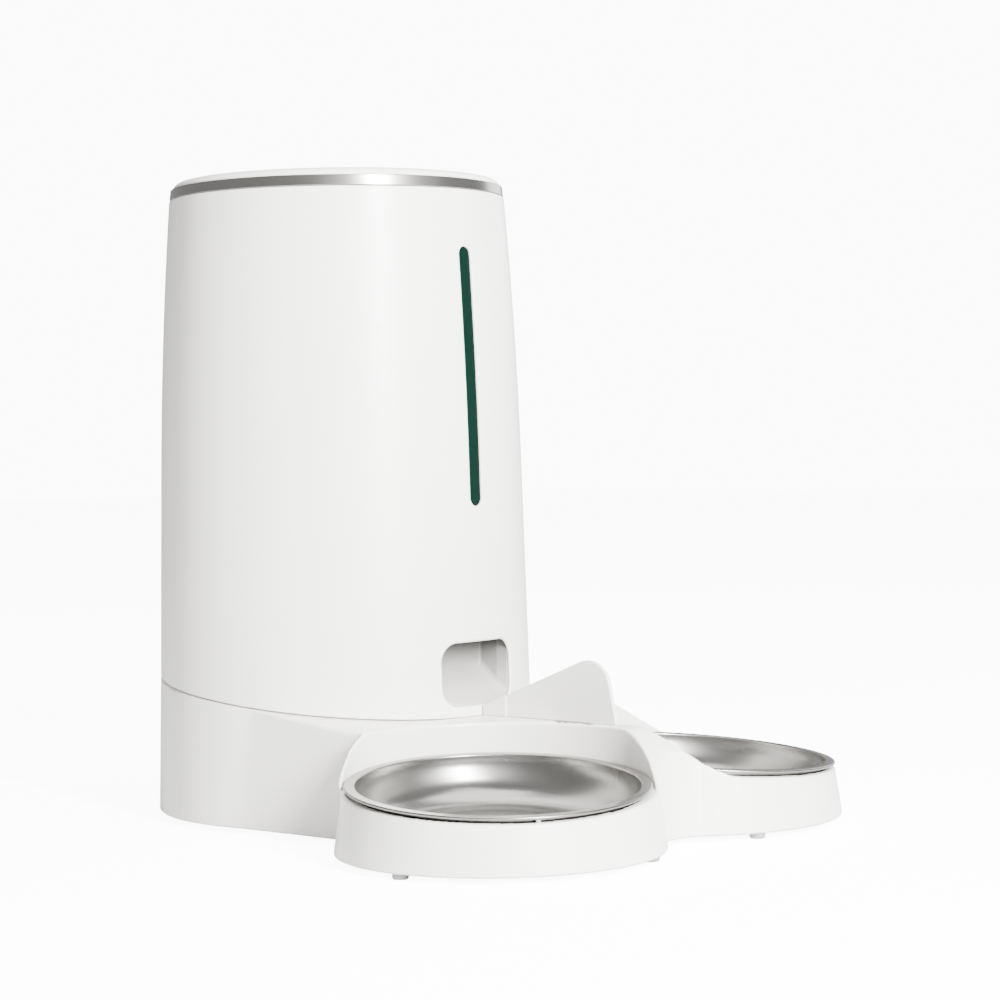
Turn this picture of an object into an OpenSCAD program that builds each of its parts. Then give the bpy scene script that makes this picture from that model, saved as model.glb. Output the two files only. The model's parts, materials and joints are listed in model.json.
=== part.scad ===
// Automatic pet feeder with one food tower and two bowls.
// Millimetres, +Z up, front towards -Y, origin on the floor under the middle of the footprint.
// Each sub-part is drawn about the tower's axis and then moved back by tower_y.

/* [Tower] */
// Radius of the tower where it meets the base
tower_r = 100.6; // [99:0.1:102]
// Height of the tower's top edge
tower_top = 331; // [328:1:334]
// How much the radius shrinks for each millimetre of height
tower_taper = 0.0215; // [0.015:0.0005:0.025]
// Extra curve of the upper part, for each square millimetre of height
tower_curve = 0.00019; // [0.0001:0.00001:0.0002]
// Height where the extra curve starts
curve_from = 185; // [170:1:200]
// Thickness of the moulded walls
wall = 2.6; // [2.2:0.1:3]
// Distance from the middle of the footprint back to the tower's axis
tower_y = 77.2; // [77:0.1:79]

/* [Seam] */
// Height of the parting line on the tower's axis
seam_z = 67.5; // [66:0.5:69]
// Rise of the parting line towards the back, for each millimetre
seam_slope = 0.115; // [0.1:0.005:0.12]
// Height of the shadow gap along the parting line
seam_gap = 0.7; // [0.4:0.1:1]

/* [Food window] */
// Width of the window slit
slit_w = 8.8; // [8:0.1:10]
// Height of the slit's lower end
slit_low = 165.7; // [160:0.1:175]
// Height of the slit's upper end
slit_high = 301; // [290:0.5:305]
// How far the lens sits below the skin
lens_sink = 0.9; // [0.5:0.1:1.2]

/* [Food outlet] */
// Width of the outlet
outlet_w = 52.5; // [48:0.5:56]
// Height of the outlet's lower edge
outlet_low = 62.6; // [61.5:0.1:64]
// Height of the outlet's upper edge
outlet_high = 95.2; // [92:0.1:98]
// Radius of the outlet's corners
outlet_corner = 10; // [6:0.5:12]
// Inside width of the chute
chute_w = 48; // [44:0.5:50]
// Distance from the tower's axis to the chute's back wall
chute_back = 77; // [74:0.5:80]

/* [Base] */
// Radius of the base under the tower, at the floor
base_r = 102.2; // [101.5:0.1:103]
// Height of the underside above the floor
base_z = 3; // [2:0.5:4]
// Height of the level top between tower and bowls
plateau_z = 57; // [55:0.5:58]
// Half width of the base beside the tower, at the floor
side_x = 101.4; // [100:0.1:101.8]
// How far each side wall leans in, in degrees
side_draft = 3.2; // [2:0.1:4]
// How far the side walls run together towards the front, in degrees
side_toe = 2.4; // [1:0.1:4]
// Distance of the hill's centre in front of the tower's axis
hill_y = 105; // [100:1:110]
// Radius where the hill starts to fall
hill_top_r = 90; // [86:1:94]
// Radius where the hill has fallen to the tray edge
hill_foot_r = 146; // [140:1:150]
// How far the hill falls
hill_drop = 27; // [24:0.5:28]

/* [Bowls and trays] */
// Sideways distance from the middle to each bowl
bowl_x = 77.2; // [77:0.1:79]
// Distance of the bowls in front of the tower's axis
bowl_y = 178; // [176:0.5:180]
// Height of the middle of each bowl's rim
rim_z = 36; // [35:0.5:38]
// Radius of the bowl's rim
rim_r = 74; // [72:0.1:74.2]
// Width of the flat flange round the bowl
rim_w = 5.2; // [4:0.1:6]
// Depth of the bowl
bowl_depth = 24; // [20:0.5:24.5]
// Radius of the bowl's flat bottom
bowl_foot_r = 46; // [40:1:48]
// Thickness of the steel
steel_t = 0.8; // [0.6:0.1:1]
// Lean of each bowl away from the tower, in degrees
lean = 4.6; // [3:0.1:5]
// Direction of the lean, in degrees outwards from the front
lean_dir = 38.4; // [30:0.1:45]
// Sideways distance from the middle to each tray
tray_x = 74; // [73.6:0.1:75.5]
// Distance of the trays in front of the tower's axis
tray_y = 176.2; // [175.8:0.1:177.5]
// Radius of a tray at the floor
tray_r = 80.4; // [80:0.1:81.5]
// Radius of a tray at its edge
tray_top_r = 76.3; // [76.2:0.1:77.5]
// How far the tray's edge lies below the bowl's rim
edge_drop = 3; // [2:0.1:3.4]
// Radius of the fillet between the trays at the front
front_fillet_r = 25; // [20:1:30]

/* [Splitter] */
// Thickness of the food splitter
splitter_t = 2.4; // [2:0.1:3]
// Distance from the tower's axis to the splitter's front end
splitter_y = 189.8; // [186:0.1:191]
// Distance from the tower's axis to the corner that the nose rounds off
splitter_peak = 182; // [178:0.5:184]
// Height of that corner above the base's top
splitter_h = 36.6; // [32:0.1:37]
// Radius of the splitter's rounded nose
splitter_nose = 14; // [8:0.5:15]

/* [Lid] */
// Radius of the metal ring round the lid
ring_r = 90.4; // [90:0.1:91]
// Height of the metal ring
ring_h = 5.7; // [5:0.1:6.5]
// Rise of the lid's top above the ring
dome_h = 4.4; // [3:0.1:5]
// Width of the rounded shoulder round the lid's top
shoulder_w = 6; // [4:0.5:8]

/* [Drive] */
// Height of the deck that carries the works
deck_z = 126; // [124:1:128]
// Number of compartments in the portion rotor
pockets = 6; // [4:1:8]
// Radius of the drive shaft
shaft_r = 3; // [2.5:0.1:3.5]
// Teeth on the output gear
teeth_out = 48; // [48]
// Teeth on the idler gear
teeth_idler = 30; // [30]
// Teeth on the motor pinion
teeth_pinion = 12; // [12]
// Radial play of a running fit
play = 0.06; // [0.03:0.01:0.1]

/* [Hidden] */

$fn = 96;
white = "#f1f0ec";
steel = "#c3c6c8";
eps = 0.01;
seam_tilt = atan(seam_slope);
seam_front = seam_z - seam_slope * tower_r;
deck_t = 3;
floor_t = 2.4;
slit_len = slit_high - slit_low - slit_w;
well_r = rim_r + 1.1;
ledge_r = rim_r - 3.6;
ledge_drop = edge_drop + 0.2;
tray_slope = (tray_r - tray_top_r) / 28;
collar_z = 28;
ring_z = tower_top + 0.2;
hopper_r = 83.6;
hopper_seat = 324;
hopper_foot = deck_z + 37;
rotor_r = 72;
housing_r = 75;
gear_z = deck_z - 13;
gear_t = 6;
idler_y = (teeth_out + teeth_idler) / 2;
motor_y = idler_y + (teeth_idler + teeth_pinion) / 2;
plate_z = gear_z - 5;
motor_r = 13;
battery_y = 42;
battery_z = 25;
cell_r = 16.4;
cell_len = 60;
cell_gap = 35;
rear_z = 34;
fillet_y = tray_y + sqrt(pow(tray_r + front_fillet_r, 2) - pow(tray_x, 2)) - 0.4;
lid_r = ring_r - 1.6;
boss_angles = [45, 135, 225, 315];
tray_feet = [-115, -3, 62];
gear_posts = [[-34, 14], [34, 14], [-26, 62], [26, 62]];

function tower_rad(z) =
    tower_r - tower_taper * (z - plateau_z) - tower_curve * pow(max(0, z - curve_from), 2);
function ease(u) = 3 * u * u - 2 * u * u * u;
function hill_z(r) =
    plateau_z - hill_drop * ease(min(1, max(0, (r - hill_top_r) / (hill_foot_r - hill_top_r))));

module at_tower() {
    translate([0, tower_y, 0]) children();
}

module tube(r_out, r_in, h) {
    difference() {
        cylinder(r = r_out, h = h);
        translate([0, 0, -1]) cylinder(r = r_in, h = h + 2);
    }
}

// Both mirror images of something drawn on the right-hand side
module both_sides() {
    children();
    mirror([1, 0, 0]) children();
}

// Everything below the sloping parting plane, lowered by drop
module under_seam(drop = 0) {
    translate([0, 0, seam_z - drop])
        rotate([seam_tilt, 0, 0])
            translate([-200, -300, -200]) cube([400, 600, 200]);
}

// Tower wall between two depths below the skin, from z1 to z2
module tower_band(z1, z2, skin, inner) {
    steps = 26;
    heights = [for (i = [0:steps]) z1 + (z2 - z1) * i / steps];
    outside = [for (z = heights) [tower_rad(z) - skin, z]];
    inside = [for (i = [steps:-1:0]) [tower_rad(heights[i]) - inner, heights[i]]];
    rotate_extrude() polygon(concat(outside, inside));
}

// Right-hand bowl's frame: origin in the middle of the rim, Z along the bowl's axis
module in_bowl() {
    translate([bowl_x, -bowl_y, rim_z])
        rotate(a = lean, v = [cos(lean_dir), sin(lean_dir), 0]) children();
}

// ---------- base ----------

// Block between the tower and the trays, with leaning side walls moved in by inset
module side_block(inset = 0) {
    difference() {
        translate([-110, -150, base_z]) cube([220, 150, 90]);
        both_sides()
            translate([side_x - inset, 0, base_z])
                rotate([0, -side_draft, -side_toe])
                    translate([0, -200, -50]) cube([60, 400, 200]);
    }
}

// Level top that falls in an S curve round the bowls
module hill(drop = 0) {
    steps = 20;
    radii = [for (i = [0:steps]) hill_top_r + (hill_foot_r - hill_top_r) * i / steps];
    curve = [for (r = radii) [r, hill_z(r) - drop]];
    translate([0, -hill_y, 0])
        rotate_extrude()
            polygon(concat([[0, base_z], [0, plateau_z - drop]], curve, [[hill_foot_r, base_z]]));
}

module tray_cone(inset = 0, h = 56) {
    translate([tray_x, -tray_y, base_z])
        cylinder(r1 = tray_r - inset, r2 = tray_r - inset - tray_slope * h, h = h);
}

// Filler that rounds the inside corner between the two trays
module front_filler(h) {
    difference() {
        translate([0, 0, base_z])
            linear_extrude(height = h)
                polygon([[-tray_x, -tray_y], [tray_x, -tray_y], [0, -fillet_y]]);
        translate([0, -fillet_y, base_z - 1])
            cylinder(r1 = front_fillet_r - tray_slope, r2 = front_fillet_r + tray_slope * (h + 1), h = h + 2);
    }
}

// Wall round the back of the right-hand bowl that flares out of the tray as it rises
module bowl_collar() {
    intersection() {
        hill();
        in_bowl() translate([0, 0, -40]) cylinder(r = well_r + 2, h = 80);
        translate([tray_x, -tray_y, collar_z]) cylinder(r1 = tray_top_r - 0.3, r2 = tray_top_r + 8.7, h = 30);
        translate([0, -150, 0]) cube([200, 150, 80]);
    }
}

// Everything below the plane of the right-hand tray's edge
module under_edge() {
    in_bowl() translate([-160, -160, -60 - edge_drop]) cube([320, 320, 60]);
}

module base_outside() {
    intersection() {
        translate([0, 0, base_z]) cylinder(r1 = base_r, r2 = tower_r - 0.9, h = 90);
        under_seam();
    }
    intersection() {
        side_block();
        under_seam();
        translate([-110, -116, 0]) cube([220, 116, 90]);
    }
    intersection() {
        hill();
        union() {
            side_block();
            both_sides() tray_cone();
            front_filler(56);
        }
    }
    both_sides() bowl_collar();
    both_sides() intersection() {
        union() {
            tray_cone();
            front_filler(50);
        }
        under_edge();
        translate([0, -300, 0]) cube([200, 300, 90]);
    }
}

module base_hollow() {
    translate([0, 0, base_z - 1]) cylinder(r1 = base_r - wall, r2 = tower_r - 0.9 - wall, h = 92);
    difference() {
        intersection() {
            translate([0, 0, -1]) side_block(wall);
            hill(wall);
            under_seam(wall);
        }
        both_sides() well_outside();
    }
    both_sides() difference() {
        translate([tray_x, -tray_y, base_z - 1]) cylinder(r = tray_r - wall - 1.6, h = 16);
        well_outside();
        translate([-20, -300, 0]) cube([32, 300, 90]);
        translate([-20, -hill_y - 20, 0]) cube([200, 60, 90]);
        for (a = tray_feet) tray_spot(a) cylinder(r = 4.6, h = 40);
    }
}

// Solid that stays round and under each bowl well
module well_outside() {
    in_bowl() translate([0, 0, -60]) cylinder(r = ledge_r + wall, h = 60);
    in_bowl() translate([0, 0, -ledge_drop - wall]) cylinder(r = well_r + wall, h = 80);
}

module well() {
    in_bowl() translate([0, 0, -ledge_drop]) cylinder(r = well_r, h = 80);
    intersection() {
        in_bowl() translate([0, 0, -40]) cylinder(r = ledge_r, h = 60);
        translate([0, -300, base_z + floor_t]) cube([200, 300, 60]);
    }
}

// A spot near the tray's outer wall; the angle runs from the sideways direction
module tray_spot(a) {
    translate([tray_x, -tray_y, base_z]) rotate([0, 0, a]) translate([tray_r - 6.2, 0, 0]) children();
}

module base_shell() {
    color(white) at_tower() {
        difference() {
            base_outside();
            base_hollow();
            both_sides() well();
            splitter_socket(0.25);
            difference() {
                translate([0, 0, 50]) cylinder(r = tower_r + 0.4, h = 40);
                under_seam();
            }
            translate([-24, 120, rear_z]) rotate([90, 0, 0]) cylinder(r = 6.2, h = 40);
            translate([24, 120, rear_z]) rotate([90, 0, 0]) cylinder(r = 2.6, h = 40);
            translate([0, 120, rear_z]) rotate([90, 0, 0]) cylinder(r = 6, h = 40);
        }
        for (a = boss_angles) tower_tab(a);
        both_sides() difference() {
            translate([66, -68, 50]) cube([29, 10, 3]);
            rotate([0, 0, -45]) translate([88, 0, 45]) cylinder(r = 3.4, h = 10);
        }
        cover_spots() translate([0, 0, base_z + floor_t]) {
            tube(4, 1.3, 14);
            translate([3, -1.2, 0]) cube([6, 2.4, 14]);
        }
        splitter_guide();
    }
}

// Places of the screws that hold the bottom cover; +X points at the nearest wall
module cover_spots() {
    both_sides() {
        rotate([0, 0, 8]) translate([91, 0, 0]) children();
        rotate([0, 0, 68]) translate([92, 0, 0]) children();
        translate([88, -62, 0]) children();
    }
}

// Tab inside the base that the tower's screws pass through
module tower_tab(a) {
    rotate([0, 0, a]) difference() {
        translate([82, -7, 50]) cube([17.6, 14, 3]);
        translate([88, 0, 45]) cylinder(r = 1.8, h = 10);
    }
}

module bottom_cover() {
    color("#e4e4e0") at_tower() {
        difference() {
            translate([0, 0, base_z]) union() {
                cylinder(r = base_r - wall - 0.5, h = floor_t);
                translate([-94, -98, 0]) cube([188, 98, floor_t]);
            }
            both_sides() well_outside();
            translate([-56, 6, 0]) cube([112, 74, 20]);
            cover_spots() {
                cylinder(r = 1.7, h = 20);
                cylinder(r = 3.2, h = base_z + 1.2);
            }
            for (i = [-3:3]) translate([i * 5 - 1, -62, 0]) cube([2, 24, 20]);
            for (a = boss_angles) rotate([0, 0, a]) translate([88, 0, 0]) cylinder(r = 4.4, h = 20);
        }
        for (x = [-46, 46]) translate([x, -50, base_z + floor_t]) tube(3.5, 1.2, 8);
    }
}

module battery_door() {
    color("#dededa") at_tower() {
        translate([-55.6, 6.4, base_z]) cube([111.2, 73.2, 2.2]);
        translate([-8, 75.4, base_z + 2]) cube([16, 2, 5]);
    }
}

module battery_box() {
    color("#d8d8d4") at_tower() {
        difference() {
            translate([-56, 4, base_z + floor_t]) cube([112, 75.4, 41]);
            translate([-53.5, 6.5, base_z]) cube([107, 72, 41.4]);
            translate([-5, 79 - 2, 30]) cube([10, 10, 6]);
        }
        board_spots() translate([0, 0, 46.3]) tube(3, 1.5, 3.7);
        for (x = [-31, 31]) translate([x - 1.5, 79.2, rear_z - 9]) cube([3, 6.8, 18]);
    }
}

module cell_spots() {
    for (i = [-1:1]) translate([i * cell_gap, battery_y, battery_z]) children();
}

module batteries() {
    color("#3f5a4a") at_tower() cell_spots() rotate([90, 0, 0]) {
        translate([0, 0, -cell_len / 2]) cylinder(r = cell_r, h = cell_len - 2);
        translate([0, 0, cell_len / 2 - 2 - eps]) cylinder(r = 4.8, h = 2);
    }
}

module battery_springs() {
    color(steel) at_tower() cell_spots() rotate([90, 0, 0]) {
        for (i = [0:2]) translate([0, 0, -cell_len / 2 - 5 + i * 1.7]) rotate_extrude()
            translate([8.6 - i * 1.4, 0]) circle(r = 0.9, $fn = 24);
        translate([0, 0, -cell_len / 2 - 6.4]) cylinder(r = 11, h = 0.8);
    }
}

module battery_plates() {
    color(steel) at_tower() cell_spots() rotate([90, 0, 0]) {
        translate([0, 0, cell_len / 2 + 0.1]) cylinder(r = 6, h = 0.8);
        translate([-10, -9, cell_len / 2 + 0.9]) cube([20, 18, 0.8]);
    }
}

module board_spots() {
    for (x = [-35, 35]) for (y = [17, 59]) translate([x, y, 0]) children();
}

module main_board() {
    color("#2f6b45") at_tower() {
        difference() {
            translate([-40, 12, 50]) cube([80, 52, 1.6]);
            board_spots() translate([0, 0, 45]) cylinder(r = 1.6, h = 10);
        }
        translate([-14, 24, 51.6 - eps]) cube([14, 14, 1.4]);
        translate([8, 20, 51.6 - eps]) cube([18, 13, 2.2]);
        for (x = [-30, -22]) translate([x, 52, 51.6 - eps]) cylinder(r = 3, h = 6);
    }
}

module board_screws() {
    color(steel) at_tower() board_spots() {
        translate([0, 0, 46.5]) cylinder(r = 1.4, h = 5.2);
        translate([0, 0, 51.6]) cylinder(r = 2.8, h = 1.6);
    }
}

module control_board() {
    color("#2f6b45") at_tower() {
        translate([-34, 86, rear_z - 10]) cube([68, 1.6, 20]);
        translate([-27, 87.6 - eps, rear_z - 3]) cube([6, 1.9, 6]);
        translate([21, 87.6 - eps, rear_z - 2]) cube([6, 2.4, 4]);
    }
}

module feed_button() {
    color("#cfd2d1") at_tower() translate([-24, 0, rear_z]) rotate([-90, 0, 0]) {
        translate([0, 0, 91]) cylinder(r = 5.8, h = 9.4);
        translate([0, 0, 91]) cylinder(r = 7.4, h = 1.2);
    }
}

module status_light() {
    color("#bfe3c8") at_tower() translate([24, 0, rear_z]) rotate([-90, 0, 0]) {
        translate([0, 0, 90]) cylinder(r = 2.5, h = 9.2);
    }
}

module power_inlet() {
    color("#2a2b2c") at_tower() translate([0, 0, rear_z]) rotate([-90, 0, 0]) difference() {
        union() {
            translate([-5.5, -5.5, 87.6]) cube([11, 11, 10]);
            translate([0, 0, 95]) cylinder(r = 5.9, h = 5.6);
        }
        translate([0, 0, 90.6]) cylinder(r = 2.85, h = 20);
    }
}

module speaker() {
    color("#3a3b3c") at_tower() translate([0, -50, base_z + floor_t]) {
        cylinder(r = 20, h = 3);
        translate([0, 0, 3 - eps]) cylinder(r1 = 17, r2 = 9, h = 5);
        translate([0, 0, 8 - 2 * eps]) cylinder(r = 10, h = 5);
        for (s = [-1, 1]) translate([s * 34 - 14, -3.4, 8]) cube([28, 6.8, 1.4]);
        for (s = [-1, 1]) translate([s * 22 - 6, -3.4, 0]) cube([12, 6.8, 9.4]);
    }
}

module rubber_feet() {
    color("#8d8f90") at_tower() {
        both_sides() for (a = tray_feet) tray_spot(a) foot();
        for (a = [30, 90, 150]) rotate([0, 0, a]) translate([base_r - 12, 0, base_z]) foot();
        for (x = [-78, 78]) translate([x, -84, base_z]) foot();
    }
}

module foot() {
    translate([0, 0, -base_z]) cylinder(r1 = 3.4, r2 = 4, h = 1);
    translate([0, 0, -base_z + 1 - eps]) cylinder(r = 4, h = base_z - 1 + eps);
}

module tray_pads() {
    color("#9fa3a2") at_tower() both_sides() in_bowl() for (a = [-56, 64, 184]) rotate([0, 0, a]) {
        translate([ledge_r + 1.25, 0, -ledge_drop]) cylinder(r = 1.1, h = ledge_drop - 1.36);
    }
}

// ---------- splitter ----------

module splitter_guide() {
    difference() {
        translate([-4, -170, plateau_z - wall - 10]) cube([8, 40, 10.4]);
        splitter_socket(0.25);
        both_sides() well();
    }
}

module splitter_socket(gap) {
    translate([-splitter_t / 2 - gap, -150 - gap, plateau_z - 8 - gap])
        cube([splitter_t + 2 * gap, 20 + 2 * gap, 20]);
}

// Side view of the splitter: distance from the tower's axis, height above the base's top
module splitter_outline() {
    heel = [tower_r + 0.3, 4.8];
    peak = [splitter_peak, splitter_h];
    up = atan2(peak[1] - heel[1], peak[0] - heel[0]);
    down = atan2(peak[1], splitter_y - peak[0]);
    reach = splitter_nose * tan((up + down) / 2);
    start = peak - reach * [cos(up), sin(up)];
    end = peak + reach * [cos(down), -sin(down)];
    middle = start + splitter_nose * [sin(up), -cos(up)];
    polygon([[heel[0], 0], heel, start, middle, end, [splitter_y, 0]]);
    translate(middle) circle(r = splitter_nose);
}

module splitter() {
    color("#e9e8e4") at_tower() {
        translate([splitter_t / 2, 0, plateau_z + 0.1]) rotate([90, 0, -90])
            linear_extrude(height = splitter_t) splitter_outline();
        splitter_socket(0);
        translate([-2.2, -117.5, plateau_z + 0.1]) cube([4.4, 16, 5.4]);
    }
}

// ---------- tower ----------

module slit_shape(grow) {
    translate([0, slit_low + slit_w / 2]) {
        circle(r = slit_w / 2 + grow);
        translate([0, slit_len]) circle(r = slit_w / 2 + grow);
        translate([-slit_w / 2 - grow, 0]) square([slit_w + 2 * grow, slit_len]);
    }
}

module rounded_rect(w, low, high, r) {
    translate([-w / 2 + r, low]) square([w - 2 * r, high - low]);
    translate([-w / 2, low + r]) square([w, high - low - 2 * r]);
    for (x = [-w / 2 + r, w / 2 - r]) for (z = [low + r, high - r]) translate([x, z]) circle(r = r);
}

// Draws a flat shape on the front of the tower and runs it inwards
module through_front(depth = 40) {
    translate([0, -70, 0]) rotate([90, 0, 0]) linear_extrude(height = depth) children();
}

module tower_shell() {
    color(white) at_tower() {
        difference() {
            tower_band(50, tower_top, 0, wall);
            under_seam(-seam_gap);
            through_front() slit_shape(0);
            through_front() rounded_rect(outlet_w, outlet_low, outlet_high, outlet_corner);
            translate([0, 0, hopper_seat]) cylinder(r = 88.2, h = 20);
        }
        difference() {
            tower_band(50, 96, wall - 0.4, wall + 2);
            under_seam(-seam_gap);
            through_front() rounded_rect(outlet_w, outlet_low, outlet_high, outlet_corner);
        }
        difference() {
            tower_band(50, 96, wall + 0.6, wall + 2);
            under_seam(5);
            through_front() rounded_rect(outlet_w, outlet_low, outlet_high, outlet_corner);
        }
        difference() {
            translate([0, 0, hopper_seat - 3]) cylinder(r = 89.8, h = 3);
            translate([0, 0, hopper_seat - 4]) cylinder(r = hopper_r + 0.8, h = 5);
        }
        for (a = boss_angles) rotate([0, 0, a]) {
            translate([88, 0, 76]) boss(14);
            translate([88, 0, deck_z - 18]) boss(18);
        }
    }
}

// Screw boss joined to the tower's wall
module boss(h) {
    difference() {
        union() {
            cylinder(r = 4.6, h = h);
            translate([0, -2, 0]) cube([10.2, 4, h]);
        }
        translate([0, 0, -1]) cylinder(r = 1.4, h = h + 2);
    }
}

module window_lens() {
    color([0.12, 0.29, 0.23, 0.85]) at_tower() {
        intersection() {
            tower_band(slit_low - 6, slit_high + 6, lens_sink, wall + 0.2);
            through_front() slit_shape(-0.12);
        }
        intersection() {
            tower_band(slit_low - 6, slit_high + 6, wall + 0.15, wall + 1.3);
            through_front() slit_shape(2.4);
        }
    }
}

module support_deck() {
    color("#e2e2de") at_tower() {
        difference() {
            translate([0, 0, deck_z]) cylinder(r = tower_rad(deck_z) - wall - 0.3, h = deck_t);
            translate([0, 0, deck_z - 1]) drop_hole();
            translate([0, 0, deck_z - 1]) cylinder(r = 6, h = 10);
            for (a = boss_angles) rotate([0, 0, a]) translate([88, 0, deck_z - 1]) cylinder(r = 1.7, h = 9);
        }
        for (p = gear_posts) translate([p[0], p[1], plate_z + 2.4]) tube(4, 1.2, deck_z - plate_z - 2.4 + eps);
    }
}

// Opening in the deck that a compartment empties through
module drop_hole() {
    intersection() {
        translate([-22, -housing_r + 0.5, 0]) cube([44, 33, 20]);
        cylinder(r = housing_r - 0.5, h = 20);
    }
}

module deck_screws() {
    color(steel) at_tower() for (a = boss_angles) rotate([0, 0, a]) translate([88, 0, 0]) {
        translate([0, 0, deck_z - 10]) cylinder(r = 1.35, h = 13 + eps);
        translate([0, 0, deck_z + deck_t]) cylinder(r = 2.9, h = 1.8);
    }
}

module tower_screws() {
    color(steel) at_tower() for (a = boss_angles) rotate([0, 0, a]) translate([88, 0, 0]) {
        translate([0, 0, 50 - eps]) cylinder(r = 1.35, h = 36);
        translate([0, 0, 48.2]) cylinder(r = 2.9, h = 1.8);
    }
}

module cover_screws() {
    color(steel) at_tower() cover_spots() translate([0, 0, base_z]) {
        translate([0, 0, 0.9]) cylinder(r = 1.25, h = 9);
        difference() {
            translate([0, 0, -0.5]) cylinder(r = 2.9, h = 1.6);
            translate([-2, -0.4, -1]) cube([4, 0.8, 1.3]);
            translate([-0.4, -2, -1]) cube([0.8, 4, 1.3]);
        }
    }
}

// ---------- food path ----------

module hopper() {
    color([0.78, 0.83, 0.8, 0.8]) at_tower()
        rotate_extrude() polygon([
            [58, hopper_foot], [housing_r + 2.6, hopper_foot], [housing_r + 2.6, hopper_foot + 2],
            [62, hopper_foot + 2], [hopper_r - 2, hopper_foot + 34], [hopper_r, 250],
            [hopper_r, hopper_seat + 0.1], [87.5, hopper_seat + 0.1], [87.5, hopper_seat + 2.6],
            [hopper_r - 2, hopper_seat + 2.6], [hopper_r - 2, 250], [hopper_r - 4, hopper_foot + 35],
            [58, hopper_foot + 3],
        ]);
}

module hopper_gasket() {
    color("#8f9492") at_tower() translate([0, 0, hopper_foot - 2.2]) tube(housing_r + 2.4, housing_r + 0.6, 2.1);
}

module portion_shield() {
    color(white) at_tower() intersection() {
        translate([0, 0, hopper_foot + 0.2]) difference() {
            cylinder(r = 57.9, h = 1.8);
            translate([0, 0, -1]) cylinder(r = 32, h = 4);
        }
        translate([0, 0, 0]) linear_extrude(height = 400)
            polygon([[0, 12], [-70, -58], [-70, -90], [70, -90], [70, -58]]);
    }
}

module rotor_housing() {
    color("#dfe0dc") at_tower() difference() {
        translate([0, 0, deck_z + deck_t]) cylinder(r = housing_r + 2.4, h = hopper_foot - deck_z - deck_t - 2.2);
        translate([0, 0, deck_z + deck_t + 1.4]) cylinder(r = housing_r, h = 50);
        translate([0, 0, deck_z]) drop_hole();
        translate([0, 0, deck_z]) cylinder(r = 9, h = 20);
    }
}

module portion_rotor() {
    z0 = deck_z + deck_t + 2;
    h = hopper_foot - z0 - 1;
    color("#c9cdc8") at_tower() translate([0, 0, z0]) difference() {
        union() {
            cylinder(r = 14, h = h);
            for (i = [0:pockets - 1]) rotate([0, 0, (i + 0.5) * 360 / pockets])
                translate([0, -1.3, 0]) cube([rotor_r, 2.6, h]);
        }
        translate([0, 0, -1]) cylinder(r = shaft_r, h = h + 2);
        for (i = [0:pockets - 1]) rotate([0, 0, (i + 0.5) * 360 / pockets])
            translate([rotor_r - 6, -0.5, -1]) cube([10, 1, h + 2]);
    }
}

module rotor_wipers() {
    z0 = deck_z + deck_t + 2.2;
    color("#7f8a84") at_tower() for (i = [0:pockets - 1]) rotate([0, 0, (i + 0.5) * 360 / pockets])
        translate([rotor_r - 5.8, -0.45, z0]) cube([8.1, 0.9, hopper_foot - z0 - 1.4]);
}

module agitator() {
    color("#c9cdc8") at_tower() translate([0, 0, hopper_foot - 1]) {
        rotate_extrude() polygon([[0, 0], [12, 0], [12, 8], [4, 22], [0, 22]]);
        for (a = [0, 120, 240]) rotate([0, 0, a]) translate([5, -1.5, 4.2]) rotate([0, -20, 0]) cube([12.5, 3, 9]);
    }
}

module drive_shaft() {
    color(steel) at_tower() translate([0, 0, plate_z - 1]) cylinder(r = shaft_r, h = hopper_foot - plate_z - 2);
}

module deck_bush() {
    color("#b08d4a") at_tower() translate([0, 0, deck_z - 1.4]) {
        tube(6, shaft_r + play, deck_t + 1.8);
        tube(8, shaft_r + play, 1.4);
    }
}

module lower_bush() {
    color("#b08d4a") at_tower() translate([0, 0, plate_z]) {
        tube(5, shaft_r + play, 2.4);
        translate([0, 0, -1.2]) tube(6.5, shaft_r + play, 1.2);
    }
}

// Spur gear of module 1 with a plain bore
module gear(teeth, bore, h) {
    r = teeth / 2;
    difference() {
        linear_extrude(height = h) {
            circle(r = r - 1.15);
            for (i = [0:teeth - 1]) rotate([0, 0, i * 360 / teeth])
                polygon([[r - 1.6, -0.92], [r, -0.62], [r + 0.8, -0.36], [r + 0.8, 0.36], [r, 0.62], [r - 1.6, 0.92]]);
        }
        translate([0, 0, -1]) cylinder(r = bore, h = h + 2);
    }
}

module output_gear() {
    color("#e8e3d2") at_tower() translate([0, 0, gear_z]) gear(teeth_out, shaft_r, gear_t);
}

module idler_gear() {
    color("#e8e3d2") at_tower() translate([0, idler_y, gear_z]) gear(teeth_idler, 2 + play, gear_t);
}

module idler_pin() {
    color(steel) at_tower() translate([0, idler_y, plate_z + 1]) {
        cylinder(r = 2, h = deck_z - plate_z - 1);
        translate([0, 0, 1.4]) tube(4, 2, gear_z - plate_z - 2.7);
    }
}

module motor_pinion() {
    color("#e8e3d2") at_tower() translate([0, motor_y, 0]) {
        translate([0, 0, gear_z]) gear(teeth_pinion, 1.4, gear_t);
        translate([0, 0, plate_z + 0.4]) cylinder(r = 1.4, h = gear_z + gear_t - plate_z - 0.4);
    }
}

module gear_plate() {
    color("#c4c7c6") at_tower() translate([0, 0, plate_z]) difference() {
        linear_extrude(height = 2.4) difference() {
            translate([-40, -12]) square([80, 84]);
            circle(r = 5);
            translate([0, motor_y]) circle(r = 4);
        }
        translate([0, idler_y, -1]) cylinder(r = 2, h = 5);
        for (p = gear_posts) translate([p[0], p[1], -1]) cylinder(r = 1.7, h = 5);
        for (x = [-8.5, 8.5]) translate([x, motor_y, -1]) cylinder(r = 1.3, h = 5);
    }
}

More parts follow.
